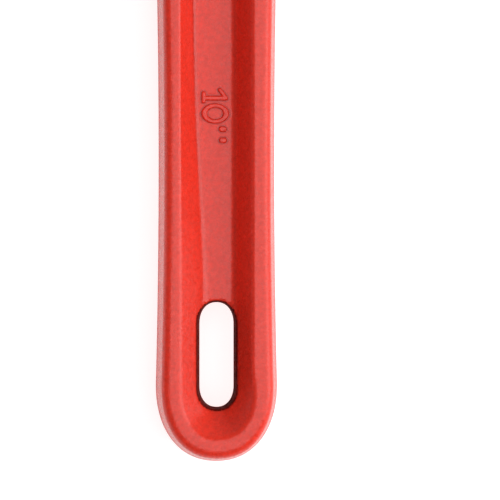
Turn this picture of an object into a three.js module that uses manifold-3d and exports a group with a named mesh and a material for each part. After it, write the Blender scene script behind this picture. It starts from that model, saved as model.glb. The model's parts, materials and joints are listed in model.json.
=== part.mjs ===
// A straight pipe wrench, nominal size 10 in, lying flat on its side. Millimetres, +Z up.
// +Y runs from the hang hole to the jaws, +X is the side the mouth opens to, and the wrench lies on z = 0.
// Everything on the hook jaw's screw is laid out in the screw frame: its origin is the nut's centre,
// "across" is local x, positive towards the mouth, and "along" is local y, positive towards the jaws.

import * as THREE from "three";
import { mergeVertices } from "three/addons/utils/BufferGeometryUtils.js";
import Module from "manifold-3d";

const wasm = await Module();
wasm.setup();

const degrees = Math.PI / 180;

// Driving dimensions
const THICK = 22; // the housing, and so the whole wrench, across its flat sides
const MID = THICK / 2;
const GRIP_THICK = 15;
const WEB_THICK = 5.5;
const WAIST_Y = 60.5; // where the grip is slimmest
const WAIST_HALF = 11.62;
const GRIP_END = 15.5; // length of the rounded hang end
const END_POWER = 2.2; // superellipse exponent of every rounded end
const CHANNEL_HALF = { floor: 3.6, crest: 7.7 };
const HANG_HOLE = { half: 3.5, from: 11.1, to: 32.1 };

const TILT = 4 * degrees; // the screw leans this far towards the mouth
const NUT_CENTRE = new THREE.Vector3(-22.5, 153, MID);
const ROCK = 3.5 * degrees; // how far the hook jaw floats in its tunnel
const GAP = 0.3; // between pieces that touch

const SCREW = { crest: 8, root: 6.4, pitch: 4, flats: 11, from: -46, to: 24 };
const THREAD_PLAY = 0.4;
const NUT = { radius: 10.8, groove: 9.9, height: 17, flutes: 24 };
const WINDOW = { half: 11.8, halfHeight: 9.5 };
const STRAP = 17.8; // the housing's back, from the screw's axis
const COLLAR = 22; // the collars' far faces, from the nut's centre
const TUNNEL = { half: 9.3, thick: 11.8 };

const BITE = 31; // the heel jaw's tooth tips
const MOUTH = 14; // opening between the jaws as drawn
const FLARE = Math.tan(3 * degrees); // the mouth widens towards its front
const TOOTH = { pitch: 3, depth: 1.6 };
const HEEL = { back: 12.3, front: 46, seat: 21.5, thick: 16 };
const TONGUE = { back: 16, front: 38, foot: 10, thick: 8 };
const HOOK = { thick: 15, shoulder: 41, front: 50 };

const LEAF = { back: 8.35, thick: 0.8, width: 9, top: -11, curl: 3.2, foot: -24 };
const COIL = { along: -15.5, radius: 2.85, wire: 0.45, from: 9.9, to: 21.05, turns: 6 };
const POCKET = { radius: 4, depth: 21.8 };
const RECESS = { front: 18.6, top: -9, foot: -29.5, width: 10 };
const HEEL_PIN = { across: 27, along: 15.5, radius: 2 };
const SPRING_PIN = { across: LEAF.back + LEAF.thick + LEAF.curl, along: LEAF.foot, radius: 1.25 };

const screwFrame = new THREE.Matrix4().makeRotationZ(-TILT).setPosition(NUT_CENTRE.x, NUT_CENTRE.y, 0);

// Solids and booleans

function solid(geometry) {
  const bare = geometry.index ? geometry.toNonIndexed() : geometry.clone();
  bare.deleteAttribute("normal");
  bare.deleteAttribute("uv");
  const merged = mergeVertices(bare, 1e-4);
  return new wasm.Manifold(
    new wasm.Mesh({
      numProp: 3,
      vertProperties: merged.attributes.position.array,
      triVerts: new Uint32Array(merged.index.array),
    }),
  );
}

function geometryOf(manifold) {
  const made = manifold.getMesh();
  return new THREE.BufferGeometry()
    .setAttribute("position", new THREE.BufferAttribute(made.vertProperties, 3))
    .setIndex(new THREE.BufferAttribute(made.triVerts, 1));
}

const point = (x, y) => new THREE.Vector2(x, y);

// A plate of the given outline from z0 to z1, with its edges rounded over by "bevel".
function plate(outline, z0, z1, bevel = 0, frame = null) {
  const shape = outline instanceof THREE.Shape ? outline : new THREE.Shape(outline);
  const made = new THREE.ExtrudeGeometry(shape, {
    depth: z1 - z0 - 2 * bevel,
    bevelEnabled: bevel > 0,
    bevelThickness: bevel,
    bevelSize: bevel,
    bevelOffset: -bevel,
    bevelSegments: 2,
    curveSegments: 8,
  }).translate(0, 0, z0 + bevel);
  return solid(frame ? made.applyMatrix4(frame) : made);
}

function box(x0, x1, y0, y1, z0, z1, frame = null) {
  const made = new THREE.BoxGeometry(x1 - x0, y1 - y0, z1 - z0).translate(
    (x0 + x1) / 2,
    (y0 + y1) / 2,
    (z0 + z1) / 2,
  );
  return solid(frame ? made.applyMatrix4(frame) : made);
}

// A round bar standing on z, at a place in the screw frame.
function bar(radius, across, along, z0, z1, frame = screwFrame) {
  return solid(
    new THREE.CylinderGeometry(radius, radius, z1 - z0, 24)
      .rotateX(Math.PI / 2)
      .translate(across, along, (z0 + z1) / 2)
      .applyMatrix4(frame),
  );
}

// A solid through two outlines of the same number of points, at two heights.
function loft(lower, z0, upper, z1) {
  const n = lower.length;
  const corners = [...lower.map((p) => [p.x, p.y, z0]), ...upper.map((p) => [p.x, p.y, z1])];
  const faces = [];
  for (const [a, b, c] of THREE.ShapeUtils.triangulateShape(lower, [])) faces.push(c, b, a);
  for (const [a, b, c] of THREE.ShapeUtils.triangulateShape(upper, [])) faces.push(n + a, n + b, n + c);
  for (let i = 0; i < n; i++) {
    const next = (i + 1) % n;
    faces.push(i, next, n + next, i, n + next, n + i);
  }
  const made = new THREE.BufferGeometry()
    .setAttribute("position", new THREE.Float32BufferAttribute(corners.flat(), 3))
    .setIndex(faces);
  return solid(made);
}

// A long outline with superellipse ends, running up y from "from" to "to".
function slotOutline(half, from, to, endLength, steps = 10) {
  const outline = [];
  for (let i = 0; i <= 2 * steps; i++) {
    const turn = (i / steps - 1) * 90 * degrees;
    const reach = Math.cos(turn) ** (2 / END_POWER);
    const side = Math.sign(turn) * Math.abs(Math.sin(turn)) ** (2 / END_POWER);
    outline.push(point(side * half, from + endLength * (1 - reach)));
  }
  const middle = (from + to) / 2;
  const far = outline.map((p) => point(-p.x, 2 * middle - p.y));
  return [...outline, ...far];
}

// Handle

// Half the grip's width: slimmest at the waist, and parabolas either side of it.
function gripHalf(y) {
  const swell = y < WAIST_Y ? 0.58 * ((WAIST_Y - y) / 45) ** 2 : 0.28 * ((y - WAIST_Y) / 32) ** 2;
  return WAIST_HALF + swell;
}

function gripOutline(top, steps = 12) {
  const right = [];
  for (let i = 0; i < steps; i++) {
    const turn = (i / steps) * 90 * degrees;
    const side = Math.sin(turn) ** (2 / END_POWER);
    const reach = Math.cos(turn) ** (2 / END_POWER);
    right.push(point(side * gripHalf(GRIP_END), GRIP_END * (1 - reach)));
  }
  for (let i = 0; i <= steps; i++) {
    const y = GRIP_END + ((top - GRIP_END) * i) / steps;
    right.push(point(gripHalf(y), y));
  }
  const left = right.slice(1).map((p) => point(-p.x, p.y));
  return [...right, ...left.reverse()];
}

// A point of the screw frame, in the wrench's own frame.
function placed(across, along) {
  const p = new THREE.Vector3(across, along, 0).applyMatrix4(screwFrame);
  return point(p.x, p.y);
}

function headOutline() {
  const head = new THREE.Shape();
  const line = (p) => head.lineTo(p.x, p.y);
  const curve = (control, p) => head.quadraticCurveTo(control.x, control.y, p.x, p.y);
  head.moveTo(-12.4, 112);
  line(point(12.4, 112));
  curve(point(14, 140), placed(44.5, 16.5));
  line(placed(44.5, HEEL.seat - GAP));
  line(placed(HEEL.back - GAP, HEEL.seat - GAP));
  line(placed(HEEL.back - GAP, BITE - 4));
  line(placed(5, BITE - 4));
  curve(placed(-1, COLLAR), placed(-8, COLLAR));
  line(placed(-STRAP + 4, COLLAR));
  curve(placed(-STRAP, COLLAR), placed(-STRAP, COLLAR - 4));
  line(placed(-STRAP, 4 - COLLAR));
  curve(placed(-STRAP, -COLLAR), placed(-STRAP + 4, -COLLAR));
  line(placed(8, -COLLAR));
  line(placed(9.2, -31));
  curve(placed(9.5, -38), point(-12.4, 112));
  return head;
}

function handleGeometry() {
  const low = MID - GRIP_THICK / 2;
  const grip = plate(gripOutline(122), low, THICK - low, 2.6);

  const ramp = [
    point(110, low),
    point(127, 0),
    point(200, 0),
    point(200, THICK),
    point(127, THICK),
    point(110, THICK - low),
  ];
  const sideOn = solid(
    new THREE.ExtrudeGeometry(new THREE.Shape(ramp), { depth: 120, bevelEnabled: false }).applyMatrix4(
      new THREE.Matrix4().makeBasis(
        new THREE.Vector3(0, 1, 0),
        new THREE.Vector3(0, 0, 1),
        new THREE.Vector3(1, 0, 0),
      ),
    ).translate(-60, 0, 0),
  );
  const head = plate(headOutline(), 0, THICK, 1.5).intersect(sideOn);
  let handle = grip.add(head);

  // The I-section's two channels, and the hole that the handle hangs by.
  const floor = slotOutline(CHANNEL_HALF.floor, 9.6, 113, 5);
  const crest = slotOutline(CHANNEL_HALF.crest, 4.6, 118, 10);
  const webTop = MID + WEB_THICK / 2;
  const faceTop = MID + GRIP_THICK / 2;
  const above = slotOutline(CHANNEL_HALF.crest + 2.4, 2.4, 120.4, 12.5);
  handle = handle
    .subtract(loft(floor, webTop, crest, faceTop))
    .subtract(loft(crest, faceTop - 0.01, above, faceTop + 3))
    .subtract(loft(crest, THICK - faceTop, floor, THICK - webTop))
    .subtract(loft(above, THICK - faceTop - 3, crest, THICK - faceTop + 0.01))
    .subtract(plate(slotOutline(HANG_HOLE.half, HANG_HOLE.from, HANG_HOLE.to, 4.6), 0, THICK));

  // The tunnel leans half the float back: the screw lies on one wall at rest, on the other when it rocks.
  const tunnelFrame = new THREE.Matrix4()
    .makeRotationZ(ROCK / 2 - TILT)
    .setPosition(NUT_CENTRE.x, NUT_CENTRE.y, 0);
  const tunnel = box(
    -TUNNEL.half,
    TUNNEL.half,
    -60,
    60,
    MID - TUNNEL.thick / 2,
    MID + TUNNEL.thick / 2,
    tunnelFrame,
  );
  const window = box(
    -WINDOW.half,
    WINDOW.half,
    -WINDOW.halfHeight,
    WINDOW.halfHeight,
    -1,
    THICK + 1,
    screwFrame,
  );
  const slotHalf = TONGUE.thick / 2 + GAP;
  const tongueSlot = box(
    TONGUE.back - GAP,
    TONGUE.front + GAP,
    TONGUE.foot - GAP,
    BITE,
    MID - slotHalf,
    MID + slotHalf,
    screwFrame,
  );
  const leafRecess = box(
    0,
    RECESS.front,
    RECESS.foot,
    RECESS.top,
    MID - RECESS.width / 2,
    MID + RECESS.width / 2,
    screwFrame,
  );
  const coilPocket = solid(
    new THREE.CylinderGeometry(POCKET.radius, POCKET.radius, POCKET.depth, 24)
      .rotateZ(Math.PI / 2)
      .translate(POCKET.depth / 2, COIL.along, MID)
      .applyMatrix4(screwFrame),
  );
  handle = handle
    .subtract(tunnel)
    .subtract(window)
    .subtract(tongueSlot)
    .subtract(leafRecess)
    .subtract(coilPocket)
    .subtract(bar(HEEL_PIN.radius + GAP, HEEL_PIN.across, HEEL_PIN.along, -1, THICK + 1))
    .subtract(bar(SPRING_PIN.radius + GAP, SPRING_PIN.across, SPRING_PIN.along, -1, THICK + 1));
  return geometryOf(handle);
}

// Jaws, in the screw frame

// A row of saw teeth from one end to the other, rooted on a back that "rise" tilts. Tips point along "way",
// and the steep side of each faces away from "from".
function toothBar(from, to, tips, rise, way, halfThick) {
  const count = Math.round(Math.abs(to - from) / TOOTH.pitch);
  const step = (to - from) / count;
  const level = (across) => tips + (across - Math.min(from, to)) * rise;
  const outline = [];
  for (let i = 0; i < count; i++) {
    const start = from + i * step;
    outline.push(point(start, level(start) - way * TOOTH.depth));
    outline.push(point(start + 0.82 * step, level(start + 0.82 * step)));
    outline.push(point(start + 0.98 * step, level(start + step) - way * TOOTH.depth * 0.9));
  }
  outline.push(point(to, level(to) - way * TOOTH.depth));
  outline.push(point(to, level(to) - way * (TOOTH.depth + 2)));
  outline.push(point(from, level(from) - way * (TOOTH.depth + 2)));
  if (THREE.ShapeUtils.area(outline) < 0) outline.reverse();
  return plate(outline, MID - halfThick, MID + halfThick);
}

function heelJawGeometry() {
  const half = HEEL.thick / 2;
  const roots = BITE - TOOTH.depth;
  const block = new THREE.Shape();
  block.moveTo(HEEL.back, HEEL.seat);
  block.lineTo(HEEL.front - 3, HEEL.seat);
  block.quadraticCurveTo(HEEL.front, HEEL.seat, HEEL.front, HEEL.seat + 4);
  block.lineTo(HEEL.front, roots - 1);
  block.lineTo(HEEL.front - 1.5, roots);
  block.lineTo(HEEL.back, roots);
  const tongue = new THREE.Shape();
  tongue.moveTo(TONGUE.back, HEEL.seat + 1);
  tongue.lineTo(TONGUE.back, TONGUE.foot + 3);
  tongue.quadraticCurveTo(TONGUE.back, TONGUE.foot, TONGUE.back + 3, TONGUE.foot);
  tongue.lineTo(TONGUE.front - 8, TONGUE.foot);
  tongue.quadraticCurveTo(TONGUE.front, TONGUE.foot, TONGUE.front, HEEL.seat + 1);
  const jaw = plate(block, MID - half, MID + half, 0.8)
    .add(plate(tongue, MID - TONGUE.thick / 2, MID + TONGUE.thick / 2))
    .add(toothBar(HEEL.back + 0.5, HEEL.front - 2, BITE, 0, 1, half - 1))
    .subtract(bar(HEEL_PIN.radius + GAP, HEEL_PIN.across, HEEL_PIN.along, 0, THICK, new THREE.Matrix4()));
  return geometryOf(jaw);
}

// A threaded bar on local y, as one closed surface: each turn repeats crest, flank, root, flank.
// Its rows climb one pitch a turn, right-handed, so the ragged ends are meant to be cut off.
function threadedBar(root, crest, crestShare, from, to, segments = 24) {
  const flankShare = 0.2;
  const profile = [
    [0, crest],
    [crestShare, crest],
    [crestShare + flankShare, root],
    [1 - flankShare, root],
  ];
  const perTurn = profile.length;
  const first = Math.floor(from / SCREW.pitch) - 2;
  const rows = (Math.ceil(to / SCREW.pitch) + 2 - first) * perTurn;
  const corners = [];
  for (let j = 0; j < segments; j++) {
    const turn = (j / segments) * 2 * Math.PI;
    for (let k = 0; k <= rows; k++) {
      const [share, radius] = profile[k % perTurn];
      const along = SCREW.pitch * (first + Math.floor(k / perTurn) + share - crestShare / 2 + j / segments);
      corners.push(radius * Math.sin(turn), along, radius * Math.cos(turn));
    }
  }
  const at = (j, k) => (j < segments ? j * (rows + 1) + k : k + perTurn);
  const faces = [];
  for (let j = 0; j < segments; j++)
    for (let k = 0; k < rows - perTurn * (j === segments - 1 ? 1 : 0); k++)
      faces.push(at(j, k), at(j + 1, k), at(j + 1, k + 1), at(j, k), at(j + 1, k + 1), at(j, k + 1));
  // Each end is a fan from the axis round the first or last row, and back down the step between its ends.
  const lowest = [];
  for (let j = 0; j < segments; j++) lowest.push(at(j, 0));
  for (let k = perTurn; k > 0; k--) lowest.push(at(0, k));
  const highest = [];
  for (let j = 0; j < segments; j++) highest.push(at(j, rows));
  for (let k = rows - 1; k >= rows - perTurn; k--) highest.push(at(segments - 1, k));
  const axisLow = corners.length / 3;
  corners.push(0, SCREW.pitch * (first + 0.5), 0);
  const axisHigh = axisLow + 1;
  corners.push(0, SCREW.pitch * (first + rows / perTurn), 0);
  lowest.forEach((corner, i) => faces.push(axisLow, lowest[(i + 1) % lowest.length], corner));
  highest.forEach((corner, i) => faces.push(axisHigh, corner, highest[(i + 1) % highest.length]));
  return new THREE.BufferGeometry()
    .setAttribute("position", new THREE.Float32BufferAttribute(corners, 3))
    .setIndex(faces);
}

function hookJawGeometry() {
  const halfFlat = SCREW.flats / 2;
  const screw = solid(
    threadedBar(SCREW.root, SCREW.crest, 0.3, SCREW.from, SCREW.to).translate(0, 0, MID),
  ).intersect(box(-20, 20, SCREW.from, SCREW.to, MID - halfFlat, MID + halfFlat));
  const shank = plate(
    [
      point(-SCREW.crest, SCREW.to - 1),
      point(SCREW.crest, SCREW.to - 1),
      point(SCREW.crest, HOOK.shoulder + 6),
      point(-SCREW.crest, HOOK.shoulder + 6),
    ],
    MID - halfFlat,
    MID + halfFlat,
    1,
  );

  const tips = BITE + MOUTH;
  const roots = tips + TOOTH.depth;
  const bite = { from: 14, to: HOOK.front - 4 };
  const face = (across) => roots + (across - bite.from) * FLARE;
  const hook = new THREE.Shape();
  hook.moveTo(SCREW.crest, HOOK.shoulder);
  hook.quadraticCurveTo(SCREW.crest, tips, bite.from - 1, tips);
  hook.lineTo(bite.from, roots);
  hook.lineTo(bite.to, face(bite.to));
  hook.quadraticCurveTo(HOOK.front + 0.5, face(bite.to) + 0.5, HOOK.front, face(bite.to) + 4);
  hook.quadraticCurveTo(HOOK.front - 1, 56, 44, 57);
  hook.bezierCurveTo(33, 60, 29, 67, 14, 67);
  hook.bezierCurveTo(0, 67, -SCREW.crest, 60, -SCREW.crest, HOOK.shoulder);
  const half = HOOK.thick / 2;
  const jaw = plate(hook, MID - half, MID + half, 1.2)
    .add(toothBar(bite.to, bite.from, tips, FLARE, -1, half - 1))
    .add(shank)
    .add(screw);
  return geometryOf(jaw);
}

// Adjusting nut: fluted outside, with the screw's own thread inside and play all round.
function nutGeometry() {
  const outline = [];
  const step = (2 * Math.PI) / NUT.flutes;
  for (let i = 0; i < NUT.flutes; i++)
    for (const [share, radius] of [
      [0, NUT.radius],
      [0.5, NUT.radius],
      [0.62, NUT.groove],
      [0.88, NUT.groove],
    ])
      outline.push(point(radius * Math.cos((i + share) * step), radius * Math.sin((i + share) * step)));
  const half = NUT.height / 2;
  const fluted = new THREE.ExtrudeGeometry(new THREE.Shape(outline), {
    depth: NUT.height,
    bevelEnabled: false,
  })
    .translate(0, 0, -half)
    .rotateX(-Math.PI / 2);
  const chamfered = new THREE.LatheGeometry(
    [
      point(0, -half),
      point(NUT.groove - 0.4, -half),
      point(NUT.radius + 0.1, 1.4 - half),
      point(NUT.radius + 0.1, half - 1.4),
      point(NUT.groove - 0.4, half),
      point(0, half),
    ],
    NUT.flutes,
  );
  // The hole's ridge fits the screw's groove with play on both sides, so this tap's crests are wider.
  const hole = threadedBar(SCREW.root + THREAD_PLAY, SCREW.crest + THREAD_PLAY, 0.48, -half - 1, half + 1);
  const cut = solid(hole).intersect(box(-20, 20, -half - 2, half + 2, -20, 20));
  return geometryOf(solid(fluted).intersect(solid(chamfered)).subtract(cut));
}

// Springs and pins, in the screw frame

function leafGeometry() {
  const inner = LEAF.back + LEAF.thick;
  const centre = inner + LEAF.curl;
  const outline = [point(LEAF.back, LEAF.top), point(LEAF.back, LEAF.foot)];
  const turns = 12;
  for (let i = 1; i <= turns; i++) {
    const turn = Math.PI + (i / turns) * 190 * degrees;
    const reach = LEAF.curl + LEAF.thick;
    outline.push(point(centre + reach * Math.cos(turn), LEAF.foot + reach * Math.sin(turn)));
  }
  for (let i = turns; i >= 0; i--) {
    const turn = Math.PI + (i / turns) * 190 * degrees;
    outline.push(point(centre + LEAF.curl * Math.cos(turn), LEAF.foot + LEAF.curl * Math.sin(turn)));
  }
  outline.push(point(inner, LEAF.top));
  const rivetHole = solid(
    new THREE.CylinderGeometry(1 + GAP, 1 + GAP, 4, 16)
      .rotateZ(Math.PI / 2)
      .translate(LEAF.back, COIL.along, MID),
  );
  return geometryOf(plate(outline, MID - LEAF.width / 2, MID + LEAF.width / 2).subtract(rivetHole));
}

class Helix extends THREE.Curve {
  getPoint(t, target = new THREE.Vector3()) {
    const turn = t * COIL.turns * 2 * Math.PI;
    return target.set(
      COIL.from + t * (COIL.to - COIL.from),
      COIL.radius * Math.cos(turn),
      COIL.radius * Math.sin(turn),
    );
  }
}

function coilGeometry() {
  const section = new THREE.Shape().absarc(0, 0, COIL.wire, 0, 2 * Math.PI);
  return new THREE.ExtrudeGeometry(section, {
    steps: COIL.turns * 14,
    curveSegments: 4,
    bevelEnabled: false,
    extrudePath: new Helix(),
  }).translate(0, COIL.along, MID);
}

// A stud through the leaf whose round head stands inside the coil.
function rivetGeometry() {
  const start = LEAF.back + 0.1;
  const head = LEAF.back + LEAF.thick + GAP;
  const profile = [
    [0, start],
    [1, start],
    [1, head],
    [2, head],
    [2, head + 2.2],
    [1.3, head + 3],
    [0, head + 3],
  ].map(([radius, across]) => point(radius, across));
  return new THREE.LatheGeometry(profile, 16).rotateZ(-Math.PI / 2).translate(0, COIL.along, MID);
}

function pinGeometry(radius, length) {
  const chamfer = 0.3;
  const half = length / 2;
  const profile = [
    [0, -half],
    [radius - chamfer, -half],
    [radius, chamfer - half],
    [radius, half - chamfer],
    [radius - chamfer, half],
    [0, half],
  ].map(([r, z]) => point(r, z));
  return new THREE.LatheGeometry(profile, 24).rotateX(Math.PI / 2);
}

// Materials

const redPaint = new THREE.MeshStandardMaterial({ color: 0xc62317, roughness: 0.35, metalness: 0 });
const jawSteel = new THREE.MeshStandardMaterial({ color: 0x2e2f33, roughness: 0.45, metalness: 0.9 });
const nutSteel = new THREE.MeshStandardMaterial({ color: 0x6d6f73, roughness: 0.35, metalness: 1 });
const springSteel = new THREE.MeshStandardMaterial({ color: 0x54585f, roughness: 0.3, metalness: 1 });
const pinSteel = new THREE.MeshStandardMaterial({ color: 0x9a9ca0, roughness: 0.3, metalness: 1 });

// Assembly

function piece(name, geometry, material) {
  const mesh = new THREE.Mesh(geometry, material);
  mesh.name = name;
  return mesh;
}

const onScrew = new THREE.Group();
onScrew.rotation.z = -TILT;
onScrew.position.set(NUT_CENTRE.x, NUT_CENTRE.y, 0);

const nut = piece("adjusting_nut", nutGeometry(), nutSteel);
nut.position.z = MID;
const heelPin = piece("heel_jaw_pin", pinGeometry(HEEL_PIN.radius, THICK - 0.8), pinSteel);
heelPin.position.set(HEEL_PIN.across, HEEL_PIN.along, MID);
const springPin = piece("spring_pin", pinGeometry(SPRING_PIN.radius, THICK - 0.8), pinSteel);
springPin.position.set(SPRING_PIN.across, SPRING_PIN.along, MID);

onScrew.add(
  nut,
  piece("hook_jaw", hookJawGeometry(), jawSteel),
  piece("heel_jaw", heelJawGeometry(), jawSteel),
  heelPin,
  piece("flat_spring", leafGeometry(), springSteel),
  piece("coil_spring", coilGeometry(), springSteel),
  piece("spring_rivet", rivetGeometry(), pinSteel),
  springPin,
);

const wrench = new THREE.Group();
wrench.add(piece("handle", handleGeometry(), redPaint), onScrew);

// The origin is under the middle of the closed outline, on the surface that the wrench lies on.
wrench.updateMatrixWorld(true);
const middle = new THREE.Box3().setFromObject(wrench, true).getCenter(new THREE.Vector3());
wrench.position.set(-middle.x, -middle.y, 0);

export default wrench;
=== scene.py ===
"""A straight pipe wrench lying flat: its casting, forgings, screw, nut, springs and pins, and the
studio round it.

Shapes are worked out in millimetres. Wrench coordinates are x across the grip from its
centreline, y from the hang end towards the jaws and z up from the middle of the thickness.
Screw coordinates are across (towards the mouth) and along (towards the hook) from the nut's
centre, and the same z.
"""

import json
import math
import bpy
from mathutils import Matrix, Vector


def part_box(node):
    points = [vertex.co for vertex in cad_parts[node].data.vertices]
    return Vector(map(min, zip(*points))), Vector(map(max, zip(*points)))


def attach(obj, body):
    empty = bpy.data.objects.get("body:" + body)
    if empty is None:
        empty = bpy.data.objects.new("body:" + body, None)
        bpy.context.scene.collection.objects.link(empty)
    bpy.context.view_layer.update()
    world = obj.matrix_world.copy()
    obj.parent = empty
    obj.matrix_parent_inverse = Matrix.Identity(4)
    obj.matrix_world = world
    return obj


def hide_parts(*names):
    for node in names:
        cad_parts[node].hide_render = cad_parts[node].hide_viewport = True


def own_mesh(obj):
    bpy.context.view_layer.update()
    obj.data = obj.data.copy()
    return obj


bl_info = {
    "name": "Pipe wrench",
    "version": (1, 0, 0),
    "blender": (4, 5, 0),
    "location": "3D View > Sidebar > Wrench",
    "description": "Builds a straight pipe wrench on its frame, with a plain studio round it",
    "category": "Add Mesh",
}

import bpy
import numpy as np
from bpy.props import FloatProperty, FloatVectorProperty, IntProperty, PointerProperty

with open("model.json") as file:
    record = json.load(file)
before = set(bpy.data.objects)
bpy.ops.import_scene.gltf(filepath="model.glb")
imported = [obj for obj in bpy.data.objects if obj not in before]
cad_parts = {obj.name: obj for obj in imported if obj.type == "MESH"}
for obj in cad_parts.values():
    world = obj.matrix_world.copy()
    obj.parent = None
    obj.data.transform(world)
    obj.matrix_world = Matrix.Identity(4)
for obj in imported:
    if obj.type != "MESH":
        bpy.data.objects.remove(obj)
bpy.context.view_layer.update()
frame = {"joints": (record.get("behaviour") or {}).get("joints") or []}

joints = {joint["name"]: joint for joint in frame["joints"]}
screw_axis = joints["nut_spin"]["axis"]
tilt = math.atan2(screw_axis[0], screw_axis[1])
rock = math.radians(joints["jaw_rock"]["range_deg"][1])
nut_centre = 1000 * np.array(joints["nut_spin"]["pos_m"])
housing_thick = 1000 * (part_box("handle")[1].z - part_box("handle")[0].z)

# The nut's centre in wrench coordinates, which also settles where those coordinates lie in the
# frame.
NUT_AT = np.array([-22.5, 153.0])
# How strongly a skin's corner keeps to the middle of its points, and how far past its cube it
# may go.
HOLD, SPILL = 0.08, 0.1
corner = nut_centre - np.array([*NUT_AT, 0.0])


# Fields: each is below zero inside a solid, above zero outside, and near its surface a distance in
# millimetres.


def rounded_cut(a, b, radius):
    """What is inside both fields, with the crease where they meet rounded: past both surfaces moved
    inwards by the radius, it is the length of the two distances less the radius."""
    corner_part = np.hypot(np.maximum(a + radius, 0), np.maximum(b + radius, 0))
    return np.minimum(np.maximum(a, b), -radius) + corner_part


def filleted_join(a, b, radius):
    """What is inside either field, with the inner corner where they meet filled to the radius."""
    return -rounded_cut(-a, -b, radius)


def smooth(t):
    """0 below t = 0, 1 above t = 1 and 3t squared less 2t cubed between."""
    t = np.clip(t, 0, 1)
    return t * t * (3 - 2 * t)


def round_turn(steps):
    """Angles spaced evenly round a whole turn."""
    return np.linspace(0, 2 * math.pi, steps, endpoint=False)


def slab(value, middle, half):
    """Distance outside the band of that half width round the middle value."""
    return np.abs(value - middle) - half


def band(value, low, high):
    """Distance outside the band from low to high."""
    return slab(value, (low + high) / 2, (high - low) / 2)


class Outline:
    """Signed distance to a closed outline, worked out for every point of a fine table and read off
    between them. Each entry is the least distance to the outline's straight pieces, below zero
    where a line to the right crosses an odd number of them."""

    def __init__(self, corners, step=0.5, pad=6.0):
        start = np.asarray(corners, float)
        end = np.roll(start, -1, axis=0)
        self.low, self.step = start.min(0) - pad, step
        x, y = (np.arange(self.low[k], start[:, k].max() + pad + step, step) for k in (0, 1))
        at = np.stack(np.meshgrid(x, y, indexing="ij"), -1)[:, :, None, :]
        run = end - start
        share = ((at - start) * run).sum(-1) / np.maximum((run * run).sum(-1), 1e-12)
        away = at - start - np.clip(share, 0, 1)[..., None] * run
        distance = np.sqrt((away * away).sum(-1).min(-1))
        spans = (start[:, 1] > at[..., 1]) != (end[:, 1] > at[..., 1])
        rise = np.where(np.abs(run[:, 1]) < 1e-12, 1e-12, run[:, 1])
        meets = start[:, 0] + run[:, 0] * (at[..., 1] - start[:, 1]) / rise
        inside = (spans & (at[..., 0] < meets)).sum(-1) % 2 == 1
        self.table = np.where(inside, -distance, distance)

    def __call__(self, x, y):
        x, y = np.broadcast_arrays(x, y)
        u, v = (x - self.low[0]) / self.step, (y - self.low[1]) / self.step
        uc = np.clip(u, 0, self.table.shape[0] - 1.001)
        vc = np.clip(v, 0, self.table.shape[1] - 1.001)
        i, j = uc.astype(int), vc.astype(int)
        fu, fv = uc - i, vc - j
        t = self.table
        near = t[i, j] * (1 - fv) + t[i, j + 1] * fv
        far = t[i + 1, j] * (1 - fv) + t[i + 1, j + 1] * fv
        return near * (1 - fu) + far * fu + self.step * np.hypot(u - uc, v - vc)


def bent(start, control, end, steps=10):
    """A quadratic curve's points after its start."""
    t = (np.arange(steps) + 1)[:, None] / steps
    start, control, end = (np.asarray(p, float) for p in (start, control, end))
    return (1 - t) ** 2 * start + 2 * t * (1 - t) * control + t * t * end


def swept(start, first, second, end, steps=14):
    """A cubic curve's points after its start."""
    t = (np.arange(steps) + 1)[:, None] / steps
    p = [np.asarray(q, float) for q in (start, first, second, end)]
    near, far = (1 - t) ** 3 * p[0], 3 * t * (1 - t) ** 2 * p[1]
    return near + far + 3 * t * t * (1 - t) * p[2] + t**3 * p[3]


def screw_of(x, y):
    """Wrench coordinates turned into screw coordinates."""
    dx, dy = x - NUT_AT[0], y - NUT_AT[1]
    return dx * math.cos(tilt) - dy * math.sin(tilt), dx * math.sin(tilt) + dy * math.cos(tilt)


def wrench_of(across, along):
    """Screw coordinates turned into wrench coordinates."""
    x = NUT_AT[0] + across * math.cos(tilt) + along * math.sin(tilt)
    return np.array([x, NUT_AT[1] - across * math.sin(tilt) + along * math.cos(tilt)])


# Surfaces: each is its corners, its four-sided faces and the three-sided faces that close its ends.

NO_FANS = np.zeros((0, 3), int)


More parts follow.
